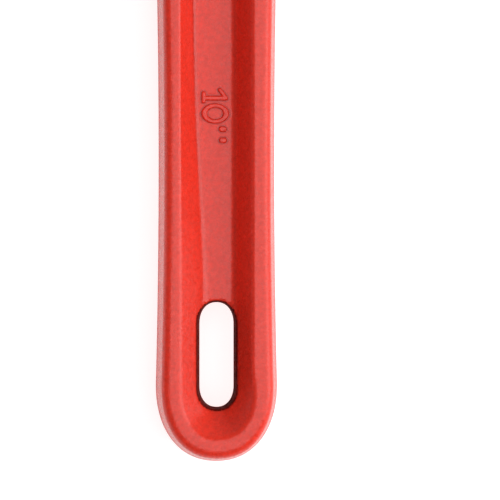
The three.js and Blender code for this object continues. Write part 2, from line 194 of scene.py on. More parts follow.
def skin(field, low, high, step):
    """The surface where a field is zero, as four-sided faces. Every edge of a grid of cubes that
    the surface crosses gives a point and the field's slope there; each cube on the surface gets the
    one corner that lies nearest all its points' tangent planes, so creases stay sharp; each crossed
    edge gets the face that joins its four cubes."""
    axes = [np.arange(a, b + step, step) for a, b in zip(low, high)]
    grid = np.meshgrid(*axes, indexing="ij", sparse=True)
    value = np.broadcast_to(field(*grid), [len(a) for a in axes]).astype(np.float32)
    shape = np.array(value.shape)
    strides = np.array([shape[1] * shape[2], shape[2], 1])
    origin = np.array(low, float)
    places, cubes = [], []
    for k in range(3):
        here, there = [slice(None)] * 3, [slice(None)] * 3
        here[k], there[k] = slice(None, -1), slice(1, None)
        lower, upper = value[tuple(here)], value[tuple(there)]
        found = np.argwhere((lower < 0) != (upper < 0))
        first = lower[tuple(found.T)].astype(float)
        last = upper[tuple(found.T)].astype(float)
        at = origin + found * step
        near, far = np.zeros(len(found)), np.full(len(found), step)
        f_near, f_far = first.copy(), last.copy()
        # Three rounds of false position, kept off the ends of the edge, bring each crossing close.
        for _ in range(3):
            middle = near + (far - near) * np.clip(f_near / (f_near - f_far), 0.05, 0.95)
            trial = at.copy()
            trial[:, k] += middle
            f_middle = field(*trial.T)
            left = (f_middle < 0) == (f_near < 0)
            near, f_near = np.where(left, middle, near), np.where(left, f_middle, f_near)
            far, f_far = np.where(left, far, middle), np.where(left, f_far, f_middle)
        at[:, k] += near + (far - near) * f_near / (f_near - f_far)
        u, v = strides[(k + 1) % 3], strides[(k + 2) % 3]
        cube = found @ strides
        four = np.stack([cube, cube - u, cube - u - v, cube - v], 1)
        four[last < first] = four[last < first][:, ::-1]
        places.append(at)
        cubes.append(four)
    place, cube = np.concatenate(places), np.concatenate(cubes)
    slope = slope_of(field, place, 0.2 * step)
    used, where = np.unique(cube, return_inverse=True)
    where = where.reshape(cube.shape)
    many = len(used)

    def gathered(weights):
        return sum(np.bincount(where[:, c], weights, many) for c in range(4))

    count = gathered(np.ones(len(place)))
    mean = np.stack([gathered(place[:, k]) / count for k in range(3)], 1)
    square = np.zeros((many, 3, 3))
    right = np.zeros((many, 3))
    for c in range(4):
        offset = (slope * (place - mean[where[:, c]])).sum(1)
        for k in range(3):
            right[:, k] += np.bincount(where[:, c], slope[:, k] * offset, many)
            for m in range(3):
                square[:, k, m] += np.bincount(where[:, c], slope[:, k] * slope[:, m], many)
    square += HOLD * np.eye(3)
    moved = np.linalg.solve(square, right[..., None])[..., 0]
    cell = np.stack(np.unravel_index(used, shape), 1)
    low_side = origin + cell * step
    corners = np.clip(mean + moved, low_side - SPILL * step, low_side + (1 + SPILL) * step)
    return corners, where, NO_FANS


def slope_of(field, points, reach):
    """A field's slope at each point, from its values a little either side along each axis, made one
    long."""
    slope = np.empty_like(points)
    for k in range(3):
        step = np.zeros(3)
        step[k] = reach
        slope[:, k] = field(*(points + step).T) - field(*(points - step).T)
    return slope / np.maximum(np.linalg.norm(slope, axis=1, keepdims=True), 1e-9)


def bend_of(field, points, reach=0.9):
    """How strongly a surface bends outwards (above zero, an edge) or inwards (below zero, a
    valley): the sum of the field's values round each point, less the same number of times its value
    there, over the reach."""
    total = np.zeros(len(points))
    for k in range(3):
        step = np.zeros(3)
        step[k] = reach
        total += field(*(points + step).T) + field(*(points - step).T)
    return (total - 6 * field(*points.T)) / reach


def lattice(points, loop=False):
    """Faces over points[i, j], closed round j. Along i it closes too if loop is true, and otherwise
    each end is closed by a fan to the middle of its last ring."""
    rings, around = points.shape[:2]
    index = np.arange(rings * around).reshape(rings, around)
    upper = np.roll(index, -1, axis=0) if loop else index[1:]
    lower = index if loop else index[:-1]
    next_lower, next_upper = np.roll(lower, -1, 1), np.roll(upper, -1, 1)
    quads = np.stack([lower, next_lower, next_upper, upper], -1).reshape(-1, 4)
    corners = points.reshape(-1, 3)
    if loop:
        return corners, quads, NO_FANS
    corners = np.concatenate([corners, points[[0, -1]].mean(1)])
    first, last = rings * around, rings * around + 1
    low, high = index[0], index[-1]
    fans = np.concatenate(
        [
            np.stack([np.roll(low, -1), low, np.full(around, first)], 1),
            np.stack([high, np.roll(high, -1), np.full(around, last)], 1),
        ]
    )
    return corners, quads, fans


def turned(profile, steps):
    """A profile of (radius, height) pairs turned about the height axis: each point's radius,
    height and angle."""
    profile = np.asarray(profile, float)
    angle = round_turn(steps)
    radius, height = (np.repeat(profile[:, k : k + 1], steps, 1) for k in (0, 1))
    return radius, height, np.broadcast_to(angle, radius.shape)


def carried(path, section):
    """A closed section of (sideways, upwards) pairs carried along a flat path of (across, along)
    points. At each point sideways is square to the path, and upwards is z."""
    path, section = np.asarray(path, float), np.asarray(section, float)
    ahead = np.gradient(path, axis=0)
    ahead /= np.linalg.norm(ahead, axis=1, keepdims=True)
    square = np.stack([ahead[:, 1], -ahead[:, 0]], 1)
    flat = path[:, None, :] + section[None, :, :1] * square[:, None, :]
    up = np.broadcast_to(section[None, :, 1:], flat.shape[:2] + (1,))
    return np.concatenate([flat, up], -1)


def make_piece(name, shape, finish, body, nodes, on_screw=True, crease=None, normals=None):
    """Puts worked-out corners and faces into a mesh in the frame's own place and metres, gives it
    its finish and body, and hides the plain nodes it stands for. Faces are turned over if the
    volume comes out below zero."""
    corners, quads, fans = shape
    if on_screw:
        flat = wrench_of(corners[:, 0], corners[:, 1]).T
        corners = np.column_stack([flat, corners[:, 2]])
    thirds = np.concatenate([quads[:, :3], quads[:, [0, 2, 3]], fans])
    a, b, c = (corners[thirds[:, k]] - corners.mean(0) for k in range(3))
    if (a * np.cross(b, c)).sum() < 0:
        quads, fans = quads[:, ::-1], fans[:, ::-1]
    mesh = bpy.data.meshes.new(name)
    mesh.vertices.add(len(corners))
    mesh.vertices.foreach_set("co", ((corners + corner) / 1000).astype(np.float32).ravel())
    loops = np.concatenate([quads.ravel(), fans.ravel()]).astype(np.int32)
    starts = np.concatenate([np.arange(len(quads)) * 4, 4 * len(quads) + np.arange(len(fans)) * 3])
    mesh.loops.add(len(loops))
    mesh.loops.foreach_set("vertex_index", loops)
    mesh.polygons.add(len(starts))
    mesh.polygons.foreach_set("loop_start", starts.astype(np.int32))
    mesh.update(calc_edges=True)
    mesh.shade_smooth()
    if crease is not None:
        mesh.set_sharp_from_angle(angle=math.radians(crease))
    if normals is not None:
        mesh.normals_split_custom_set_from_vertices(normals)
    mesh.materials.append(finish)
    piece = bpy.data.objects.new(name, mesh)
    bpy.context.scene.collection.objects.link(piece)
    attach(piece, body)
    if nodes:
        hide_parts(*nodes)
    return piece


def store(piece, name, values):
    """Keeps one number for each corner with the mesh, for its finish to read."""
    layer = piece.data.attributes.new(name, "FLOAT", "POINT")
    layer.data.foreach_set("value", np.asarray(values, np.float32))


# The casting

GRIP_HALF = 7.5  # half the grip's thickness
WAIST_AT, WAIST_HALF = 60.5, 11.62  # where the grip is slimmest, and half its width there
HANG_END_LENGTH, END_POWER = 15.5, 2.2
SIDE_DRAFT = 0.16  # how much the grip's outer sides lean, from the seam at mid thickness
SEAM_HEIGHT, SEAM_WIDTH = 0.1, 0.55
SHOULDER_FILLET = 5.0  # where the grip runs into the housing
CREST_HALF = 7.55  # from the centreline to the channel's rim
CREST_ROUND, FLOOR_ROUND = 0.4, 0.7  # of the channel's rim and of its wall's foot
MOUTH_RIM_IN = 0.55  # how much nearer the rim on the mouth's side is
# How steeply the channel's walls fall: round the hang end, on the screw's side by the hang hole,
# how much more there by the neck, and on the mouth's side.
END_FALL, HOLE_FALL, NECK_GAIN, MOUTH_FALL = 0.86, 0.89, 0.78, 1.4
HOLE_DRAFT, HOLE_EDGE = 0.14, 0.3
RIM_SHADE, RIM_WIDTH = 2.2, 0.4  # how dark the painted shade is round the hang hole's rim, and how far out
NECK_FROM, NECK_LENGTH = 108, 21  # where the casting thickens from the grip to the housing
COLLAR, STRAP = 22.0, 17.8  # the collars' far faces and the housing's back, from the nut's centre
# The heel jaw's seat, its tooth tips and the opening above them.
SEAT, BITE, MOUTH = 21.5, 31.0, 14.0
TUNNEL_HALF, TUNNEL_HALF_THICK = 9.3, 5.9
WINDOW_HALF, WINDOW_HALF_HEIGHT = 11.8, 9.5
TONGUE_HALF, TONGUE_FOOT, TONGUE_HALF_THICK = 11.0, 10.0, 4.0
RECESS_DEPTH, RECESS_LOW, RECESS_HIGH, RECESS_HALF_THICK = 18.6, -29.5, -9.0, 5.0
POCKET_DEPTH, POCKET_RADIUS, COIL_ALONG = 21.8, 4.0, -15.5
SLOT_ROOM, PIN_ROOM = 0.3, 0.15
HEEL_PIN = (27.0, 15.5, 2.0)  # across, along and radius
SPRING_PIN = (12.35, -24.0, 1.25)


def rounded_end(half, length, steps):
    """A quarter of a superellipse from the end's middle out to its side, as (sideways, from the
    end) pairs."""
    turn = np.linspace(0, math.pi / 2, steps)
    side = np.sin(turn) ** (2 / END_POWER)
    reach = np.cos(turn) ** (2 / END_POWER)
    return np.stack([half * side, length * (1 - reach)], 1)


def grip_outline():
    """The grip seen from above: a superellipse end, then sides that are parabolas either side of
    the waist."""

    def half(y):
        below = 0.58 * ((WAIST_AT - y) / 45) ** 2  # 0.58 mm wider 45 mm below the waist
        above = 0.28 * ((y - WAIST_AT) / 32) ** 2  # and 0.28 mm wider 32 mm above it
        return WAIST_HALF + np.where(y < WAIST_AT, below, above)

    end = rounded_end(float(half(HANG_END_LENGTH)), HANG_END_LENGTH, 24)
    y = np.linspace(HANG_END_LENGTH, 124, 26)[1:]
    right = np.concatenate([end, np.stack([half(y), y], 1)])
    return np.concatenate([right, (right * [-1, 1])[:0:-1]])


def oblong_outline(half, low, high, length):
    """A slot up y from low to high with a superellipse of that length at each end."""
    end = rounded_end(half, length, 16)
    right = np.concatenate([end + [0, low], ([0, high] - end * [-1, 1])[::-1]])
    return np.concatenate([right, (right * [-1, 1])[-2:0:-1]])


def head_outline():
    """The housing seen from above, from the grip's right shoulder round the seat, the collars and
    the back."""
    shoulder, seat = 112.0, 12.0

    def at(across, along):
        return wrench_of(across, along)[None]

    def round_corner(start, control, end, steps):
        return bent(wrench_of(*start), wrench_of(*control), wrench_of(*end), steps)

    parts = [
        [[12.4, shoulder]],
        bent([12.4, shoulder], [14.0, 140.0], wrench_of(44.5, 16.5), 16),
        at(44.5, SEAT - 0.3),
        at(seat, SEAT - 0.3),
        at(seat, BITE - 4),
        at(5, BITE - 4),
        round_corner((5, BITE - 4), (-1, COLLAR), (-8, COLLAR), 10),
        at(4 - STRAP, COLLAR),
        round_corner((4 - STRAP, COLLAR), (-STRAP, COLLAR), (-STRAP, COLLAR - 4), 6),
        round_corner((-STRAP, 4 - COLLAR), (-STRAP, -COLLAR), (4 - STRAP, -COLLAR), 6),
        at(8, -COLLAR),
        at(9.2, -31),
        bent(wrench_of(9.2, -31), wrench_of(9.5, -38), [-12.4, shoulder], 10),
    ]
    return np.concatenate([np.asarray(p, float) for p in parts])


def hang_hole_field():
    """The hang hole: a slot up the web, drafted so that it widens from the middle out to both
    faces."""
    slot = Outline(oblong_outline(3.45, 10.9, 32.1, 4.4), 0.25, 3.0)
    return lambda x, y, z: slot(x, y) - HOLE_DRAFT * np.abs(z)


def casting_field(casting):
    """The handle and housing. The outline from above leans inwards along the grip, away from a low
    seam at mid thickness. It is cut off by the two sides, which stand further apart along the
    housing, with their edges rounded. The channels are cut by a sloping wall, which falls from
    their rim to the web, and by the web; the wall on the screw's side is gentlest by the hang hole,
    and so is the wall round the hang end. Then come the hang hole, the screw's tunnel, the nut's
    window, the heel jaw's slot, the springs' recess and the pins' holes."""
    grip, head = Outline(grip_outline()), Outline(head_outline())
    rim = Outline(oblong_outline(CREST_HALF, 4.9, 117.5, 10.0))
    hole = hang_hole_field()
    web_half = 500 * casting.web_thickness
    edge = 1000 * casting.edge_radius
    housing_half = housing_thick / 2
    lean = rock / 2

    def field(x, y, z):
        across, along = screw_of(x, y)
        side = np.abs(z)
        swell = smooth((y - NECK_FROM) / NECK_LENGTH)
        half = GRIP_HALF + (housing_half - GRIP_HALF) * swell
        plan = filleted_join(grip(x, y), head(x, y), SHOULDER_FILLET)
        by_grip = 1 - smooth((np.abs(x) - 30) / 5)
        seam = SEAM_HEIGHT * np.exp(-((side / SEAM_WIDTH) ** 2)) * by_grip
        outer = (plan - seam + SIDE_DRAFT * (1 - swell) * side) / np.hypot(1, SIDE_DRAFT)
        body = rounded_cut(outer, side - half, edge * (1 - 0.2 * swell))

        # The fall blends from the screw's side to the mouth's, and from the hang end up the grip.
        mouth_side, up_grip = smooth((x + 2) / 4), smooth((y - 9) / 12)
        screw_fall = HOLE_FALL + NECK_GAIN * smooth((y - 33) / 62)
        fall = screw_fall + (MOUTH_FALL - screw_fall) * mouth_side
        fall = END_FALL + (fall - END_FALL) * up_grip
        inside = -rim(x, y) - MOUTH_RIM_IN * mouth_side * up_grip
        wall = (GRIP_HALF - fall * inside - side) / np.hypot(1, fall)
        channel = rounded_cut(wall, web_half - side, FLOOR_ROUND)
        body = rounded_cut(body, -channel, CREST_ROUND)
        body = rounded_cut(body, -hole(x, y, z), HOLE_EDGE)

        tilted = across * math.cos(lean) + along * math.sin(lean)
        tunnel = rounded_cut(slab(tilted, 0, TUNNEL_HALF), side - TUNNEL_HALF_THICK, 0.8)
        body = rounded_cut(body, -tunnel, 0.7)
        window = rounded_cut(slab(across, 0, WINDOW_HALF), slab(along, 0, WINDOW_HALF_HEIGHT), 1.2)
        body = rounded_cut(body, -window, 0.9)
        slot = np.maximum(TONGUE_FOOT - SLOT_ROOM - along, side - (TONGUE_HALF_THICK + SLOT_ROOM))
        slot = np.maximum(slab(across, HEEL_PIN[0], TONGUE_HALF + SLOT_ROOM), slot)
        body = np.maximum(body, -slot)
        recess = np.maximum(band(along, RECESS_LOW, RECESS_HIGH), side - RECESS_HALF_THICK)
        recess = np.maximum(band(across, 0, RECESS_DEPTH), recess)
        pocket = np.hypot(along - COIL_ALONG, z) - POCKET_RADIUS
        pocket = np.maximum(pocket, band(across, 0, POCKET_DEPTH))
        body = np.maximum(body, -np.minimum(recess, pocket))
        pins = [
            np.hypot(across - at_across, along - at_along) - (radius + PIN_ROOM)
            for at_across, at_along, radius in (HEEL_PIN, SPRING_PIN)
        ]
        return rounded_cut(body, -np.minimum(*pins), 0.3)

    return field


# The size number: the slope of its sides, the rounding of its tops and its depth in the web.
NUMBER_SLOPE, NUMBER_ROUND, NUMBER_ROOT = 0.4, 0.15, 0.8
SKIRT_WIDTH, SKIRT_HEIGHT = 0.5, 0.05
# How dark the painted shade is round the strokes' feet, and where.
FOOT_SHADE, FOOT_AT, FOOT_WIDTH = 1.05, 0.1, 0.26


def stroke(x, y, start, end, half):
    """Distance outside a stroke of that half width round a straight line."""
    run = np.array([end[0] - start[0], end[1] - start[1]])
    share = np.clip(((x - start[0]) * run[0] + (y - start[1]) * run[1]) / (run @ run), 0, 1)
    return np.hypot(x - start[0] - share * run[0], y - start[1] - share * run[1]) - half


def number_plan(x, y):
    """The size number seen from above, a plain 1 and 0 and two short inch strokes, read from the
    jaws' end: distance outside strokes of constant width round short lines and an ellipse."""
    lines = (
        ((-2.65, 73.3), (1.75, 73.3), 0.52),
        ((-2.7, 72.65), (-2.7, 74.25), 0.46),
        ((1.7, 73.45), (0.6, 74.95), 0.46),
        ((0.9, 67.05), (1.4, 67.05), 0.6),
        ((0.95, 64.8), (1.45, 64.8), 0.6),
    )
    zero = np.abs((np.hypot((x + 0.37) / 2.2, (y - 70.2) / 1.6) - 1) * 1.85) - 0.54
    return np.minimum.reduce([stroke(x, y, *line) for line in lines] + [zero])


def number_field(casting):
    """The size number raised on the web: its sides slope, its tops are rounded off and a thin skirt
    melts into the web."""
    web_half = 500 * casting.web_thickness
    height = 1000 * casting.number_height

    def field(x, y, z):
        plan, above = number_plan(x, y), z - web_half
        raised = rounded_cut(plan + NUMBER_SLOPE * above, above - height, NUMBER_ROUND)
        skirt = np.maximum(plan - SKIRT_WIDTH, above - SKIRT_HEIGHT)
        return np.maximum(np.minimum(raised, skirt), -NUMBER_ROOT - above)

    return field


# The jaws, in screw coordinates

HOOK_HALF, HEEL_HALF = 7.5, 8.0  # half their thicknesses
HOOK_TEETH, HEEL_TEETH = (46, 14), (12.7, 44.2)  # where their rows of teeth start and end
TIP_FROM, TIP_TO = 0.8, 0.86  # where a tooth's slope ends and its steep side starts, in pitches
MOUTH_FLARE = math.tan(math.radians(3))  # the mouth widens towards its front


def tooth_bar_outline(start, end, tips, rise, way, pitch, depth):
    """Saw teeth from start to end on a face that climbs by rise: up a long slope, down a short
    steep one."""
    count = round(abs(end - start) / pitch)
    step = (end - start) / count
    foot = start + np.arange(count) * step

    def down(across, drop):
        return np.stack([across, tips + (across - min(start, end)) * rise - way * drop], -1)

    tip_from, tip_to = foot + TIP_FROM * step, foot + TIP_TO * step
    teeth = np.stack([down(foot, depth), down(tip_from, 0), down(tip_to, 0)], 1).reshape(-1, 2)
    back = [down(end, depth), down(end, depth + 2), down(start, depth + 2)]
    return np.concatenate([teeth, back])


def hook_field(jaws):
    """The hook and its plain shank: the outline from above cut off by the two sides with their
    edges rounded, the saw teeth narrower than it, and the flat-sided shank joined on with a
    fillet."""
    pitch, depth = 1000 * jaws.tooth_pitch, 1000 * jaws.tooth_depth
    tips = BITE + MOUTH
    roots = tips + depth
    front, throat = HOOK_TEETH
    face = roots + (front - throat) * MOUTH_FLARE  # the jaw's face at its front
    shape = np.concatenate(
        [
            [[8.0, 41.0]],
            bent([8, 41], [8, tips], [13, tips + 0.1], 8),
            [[throat, roots], [front, face]],
            bent([front, face], [50.5, face + 0.5], [50, face + 4], 6),
            bent([50, face + 4], [49, 56], [44, 57], 6),
            swept([44, 57], [33, 60], [29, 67], [14, 67]),
            swept([14, 67], [0, 67], [-8, 60], [-8, 41]),
        ]
    )
    hook = Outline(shape, 0.3, 4.0)
    teeth = Outline(tooth_bar_outline(*HOOK_TEETH, tips, MOUTH_FLARE, -1, pitch, depth), 0.12, 1.5)

    def field(x, y, z):
        side = np.abs(z)
        body = rounded_cut(hook(x, y), side - HOOK_HALF, 1.9)
        shank = rounded_cut(rounded_cut(slab(x, 0, 8), side - 5.5, 1.0), slab(y, 35, 13), 0.3)
        body = filleted_join(body, shank, 1.2)
        return np.minimum(body, np.maximum(teeth(x, y), side - (HOOK_HALF - 0.5)))

    return field


def heel_field(jaws):
    """The heel jaw: a block with rounded edges that carries the saw teeth, on a thin tongue with
    the pin's hole."""
    pitch, depth = 1000 * jaws.tooth_pitch, 1000 * jaws.tooth_depth
    roots, back = BITE - depth, 12.3
    block_shape = np.concatenate(
        [
            [[back, SEAT], [43.0, SEAT]],
            bent([43, SEAT], [46, SEAT], [46, SEAT + 4], 6),
            [[46.0, roots - 1.2], [44.6, roots], [back, roots]],
        ]
    )
    block = Outline(block_shape, 0.3, 4.0)
    teeth = Outline(tooth_bar_outline(*HEEL_TEETH, BITE, 0.0, 1, pitch, depth), 0.12, 1.5)

    def field(x, y, z):
        side = np.abs(z)
        body = rounded_cut(block(x, y), side - HEEL_HALF, 1.1)
        tongue = rounded_cut(slab(x, HEEL_PIN[0], TONGUE_HALF), band(y, TONGUE_FOOT, 22.4), 2.0)
        tongue = np.maximum(tongue, side - TONGUE_HALF_THICK)
        bar = np.maximum(teeth(x, y), side - (HEEL_HALF - 0.6))
        body = np.minimum(np.minimum(body, tongue), bar)
        return np.maximum(body, HEEL_PIN[2] + 0.05 - np.hypot(x - HEEL_PIN[0], y - HEEL_PIN[1]))

    return field


# The screw and nut, in screw coordinates, both from one thread

FLANK = 0.22  # how much of a pitch each flank takes
THREAD_PLAY = 0.4
SCREW_FOOT, SCREW_TOP = -46, 25
RUN_OUT_FROM, RUN_OUT_LENGTH = 21.5, 2.5  # where the thread runs out into the plain shank


def thread(along, angle, pitch, share):
    """1 on a crest, 0 at a root and smooth flanks between. A crest is where the pitches climbed,
    less the turns made, is a whole number, and share is how much of each pitch lies above half
    height."""
    phase = np.mod(along / pitch - angle / (2 * math.pi) + 0.5, 1) - 0.5
    return smooth((share / 2 + FLANK / 2 - np.abs(phase)) / FLANK)


def screw_points(screw):
    """The threaded shank: its radius is the root's plus the thread, tapered at its foot and run
    out at its top, and its two sides are pressed flat."""
    root, crest = 1000 * screw.root_radius, 1000 * screw.crest_radius
    along = np.linspace(SCREW_FOOT, SCREW_TOP, 370)[:, None]
    angle = round_turn(192)[None, :]
    run_out = 1 - smooth((along - RUN_OUT_FROM) / RUN_OUT_LENGTH)
    deep = (crest - root) * (1 - thread(along, angle, 1000 * screw.pitch, 0.5))
    radius = crest - 0.06 - deep * run_out
    radius = np.minimum(radius, root + 0.2 + along - SCREW_FOOT)
    flat = 500 * screw.flat_thickness - 0.02
    upwards = np.clip(radius * np.cos(angle), -flat, flat)
    return np.stack([radius * np.sin(angle), np.broadcast_to(along, radius.shape), upwards], -1)


def nut_points(screw):
    """The nut as one closed tube: up its fluted outside, in over the top, down its thread and out
    underneath. The ends of the outside and the lips of the thread are chamfered."""
    half = 500 * screw.nut_height
    outer = 1000 * screw.nut_radius
    root = 1000 * screw.root_radius + THREAD_PLAY
    crest = 1000 * screw.crest_radius + THREAD_PLAY
    pitch, flutes = 1000 * screw.pitch, screw.nut_flutes
    angle = round_turn(10 * flutes)[None, :]
    up = np.concatenate([[-half], np.linspace(-half + 0.15, half - 0.15, 46), [half]])[:, None]
    swing = np.mod(angle * flutes / (2 * math.pi), 1)
    flute_depth, flute_side = 0.95, 0.14
    outside = outer - flute_depth * smooth(np.minimum(swing - 0.5, 1 - swing) / flute_side)
    outside = np.minimum(outside, outer - 1.5 + 1.1 * (half - np.abs(up)))
    down = np.linspace(half - 0.1, 0.1 - half, 110)[:, None]
    inside = root + (crest - root) * thread(down, angle, pitch, 0.68)
    lip = np.maximum(inside, crest - 0.9 * (half - np.abs(down)))
    radius = np.concatenate([outside, lip])
    height = np.concatenate([up, down]) + 0 * angle
    return np.stack([radius * np.sin(angle), height, radius * np.cos(angle)], -1)


# The springs and pins, in screw coordinates

LEAF_BACK, LEAF_CURL = 8.35, 3.2  # the leaf's face by the shank, and its curl's inside radius
COIL_FOOT, COIL_TOP, COIL_TURNS = 9.95, 21.0, 6
# The rivet as (radius, across) pairs: its stem, then its head.
RIVET_PROFILE = [
    (0.02, 8.45), (1, 8.45), (1, 9.45), (1.55, 9.5), (1.62, 9.6),
    (1.62, 11.5), (1.4, 12.1), (0.8, 12.4), (0.02, 12.45),
]


def leaf_points(springs):
    """The flat spring: a rounded strip carried down a straight line and round a curl."""
    thick, width = 1000 * springs.leaf_thickness, 1000 * springs.leaf_width
    curl = LEAF_CURL + thick / 2
    turn = math.pi + np.linspace(0, math.radians(190), 40)
    middle = LEAF_BACK + thick / 2 + curl
    straight = np.stack([np.full(30, middle - curl), np.linspace(-11.05, -23.8, 30)], 1)
    round_part = np.stack([middle + curl * np.cos(turn), SPRING_PIN[1] + curl * np.sin(turn)], 1)
    angle = round_turn(32)
    section = np.stack([np.cos(angle), np.sin(angle)], 1)
    section = np.sign(section) * np.abs(section) ** 0.35 * [thick / 2, width / 2]
    return carried(np.concatenate([straight, round_part]), section)


def coil_points(springs):
    """The coil spring: a round wire carried along a helix whose end turns lie close."""
    radius, wire = 1000 * springs.coil_radius, 1000 * springs.wire_radius
    share = np.linspace(0, 1, 240)
    spread = 0.86 * smooth((share - 0.08) / 0.84) + 0.14 * share
    turns = 2 * math.pi * COIL_TURNS * share
    reach = COIL_TOP - COIL_FOOT - 2 * wire
    across = COIL_FOOT + wire + reach * (0.45 * share + 0.55 * spread)
    line = np.stack([across, COIL_ALONG + radius * np.cos(turns), radius * np.sin(turns)], 1)
    ahead = np.gradient(line, axis=0)
    ahead /= np.linalg.norm(ahead, axis=1, keepdims=True)
    outward = np.stack([0 * turns, np.cos(turns), np.sin(turns)], 1)[:, None]
    third = np.cross(ahead[:, None], outward)
    ring = round_turn(14)[None, :, None]
    return line[:, None] + wire * (np.cos(ring) * outward + np.sin(ring) * third)


def rivet_points():
    """The rivet: a stem through the leaf and a head that stands in the coil, turned about the
    coil's axis."""
    radius, across, angle = turned(RIVET_PROFILE, 40)
    return np.stack([across, COIL_ALONG + radius * np.cos(angle), radius * np.sin(angle)], -1)


def pin_points(across, along, radius):
    """A pin: a rod turned about z, with its two rims rounded."""
    half, rim = housing_thick / 2 - 0.4, 0.35
    turn = np.linspace(0, math.pi / 2, 5)
    quarter = np.stack([radius - rim + rim * np.sin(turn), half - rim + rim * np.cos(turn)], 1)
    top = np.concatenate([[[0.02, half], [0.6 * radius, half]], quarter])
    ring, height, angle = turned(np.concatenate([top, (top * [1, -1])[::-1]]), 48)
    return np.stack([across + ring * np.cos(angle), along + ring * np.sin(angle), height], -1)


# Finishes


def feed(tree, node, **inputs):
    """Gives a node's sockets their values or links. A name that isn't a socket's is a setting."""
    names = {s.name.lower().replace(" ", "_"): s for s in reversed(node.inputs)}
    for name, value in inputs.items():
        socket = names.get(name)
        if socket is None:
            setattr(node, name, value)
        elif isinstance(value, bpy.types.NodeSocket):
            tree.links.new(value, socket)
        else:
            socket.default_value = value
    return node


def add(tree, kind, **inputs):
    """One new node, with its settings and its sockets' values or links."""
    return feed(tree, tree.nodes.new(kind), **inputs)


def ramp(tree, value, stops):
    """A colour ramp over (place, colour) stops."""
    node = add(tree, "ShaderNodeValToRGB", fac=value)
    while len(node.color_ramp.elements) < len(stops):
        node.color_ramp.elements.new(0.5)
    for element, (place, colour) in zip(node.color_ramp.elements, stops):
        element.position = place
        element.color = (*colour, 1)
    return node.outputs["Color"]


def shade_of(colour, factor):
    """A colour made darker or lighter by a factor, and no lighter than 1."""
    return tuple(min(1, factor * c) for c in colour)


def grey(level):
    return (level, level, level)


def new_finish(name):
    """A material with a Principled shader on its output, and its tree, shader and Object
    coordinates."""
    finish = bpy.data.materials.new(name)
    finish.use_nodes = True
    tree = finish.node_tree
    tree.nodes.clear()
    shader = tree.nodes.new("ShaderNodeBsdfPrincipled")
    out = tree.nodes.new("ShaderNodeOutputMaterial")
    tree.links.new(shader.outputs["BSDF"], out.inputs["Surface"])
    place = tree.nodes.new("ShaderNodeTexCoord").outputs["Object"]
    return finish, tree, shader, place


def noise(tree, place, scale, detail=3.0, roughness=0.5):
    """A noise pattern, scale lumps to the metre."""
    node = add(
        tree, "ShaderNodeTexNoise", vector=place, scale=scale, detail=detail, roughness=roughness
    )
    return node.outputs["Fac"]


def bumped(tree, strength, distance, height, **under):
    """A normal that follows a pattern's height, over another normal if one is given."""
    node = add(tree, "ShaderNodeBump", strength=strength, distance=distance, height=height, **under)
    return node.outputs["Normal"]


def bend_read(tree):
    """The bend kept with each corner: above zero on an edge, below zero in a valley. On the casting
    and the size number it also carries painted shade round the hang hole's rim and the strokes'
    feet.
    """
    return add(tree, "ShaderNodeAttribute", attribute_name="bend").outputs["Fac"]


def turned_to(tree, share, tone, colour):
    """A tone that turns into one flat colour as a share goes from 0 to 1."""
    node = add(tree, "ShaderNodeMix", data_type="RGBA")
    tree.links.new(share, node.inputs[0])
    tree.links.new(tone, node.inputs[6])
    node.inputs[7].default_value = (*colour, 1)
    return node.outputs[2]


def red_enamel(casting):
    """Glossy enamel over cast iron: a soft orange peel over the sand's grain, mottled a little, and
    painted shade: darker in the valleys, round the hang hole's rim and round the size number's
    strokes."""
    finish, tree, shader, place = new_finish("red_enamel")
    base, grain = tuple(casting.enamel), casting.grain_height
    mottle = noise(tree, place, 1150, 4.0, 0.65)
    tone = ramp(tree, mottle, [(0.36, shade_of(base, 0.89)), (0.64, shade_of(base, 1.1))])
    # Painted shade: where the bend is below zero (the valleys, the hang hole's rim and the number's
    # strokes) the enamel darkens towards a third of its colour.
    painted_shade = add(
        tree, "ShaderNodeMapRange", value=bend_read(tree),
        from_min=-1.5, from_max=-0.5, to_min=1.0, to_max=0.0,
    ).outputs["Result"]
    peel = bumped(tree, 1.0, 1.6 * grain, noise(tree, place, 520, 2.5, 0.55))
    feed(
        tree, shader,
        base_color=turned_to(tree, painted_shade, tone, shade_of(base, 0.3)),
        roughness=ramp(tree, noise(tree, place, 900, 2.0), [(0.3, grey(0.24)), (0.75, grey(0.36))]),
        normal=bumped(tree, 1.0, 0.9 * grain, noise(tree, place, 1500, 3.0, 0.6), normal=peel),
        specular_ior_level=0.38,
    )
    return finish


def hole_enamel(casting):
    """The thin, matt coat on the hang hole's wall, painted dark to stand in for the shade inside
    the hole.
    """
    finish, tree, shader, place = new_finish("hole_enamel")
    base = tuple(casting.enamel)
    # Painted shade: the wall is the enamel at 0.12 to 0.24 of its colour, mottled a little.
    shade_mottle = noise(tree, place, 600, 4.0)
    feed(
        tree, shader,
        base_color=ramp(tree, shade_mottle, [(0.35, shade_of(base, 0.12)), (0.65, shade_of(base, 0.24))]),
        roughness=ramp(tree, noise(tree, place, 1500, 3.0), [(0.3, grey(0.7)), (0.7, grey(0.9))]),
        specular_ior_level=0.04,
    )
    return finish


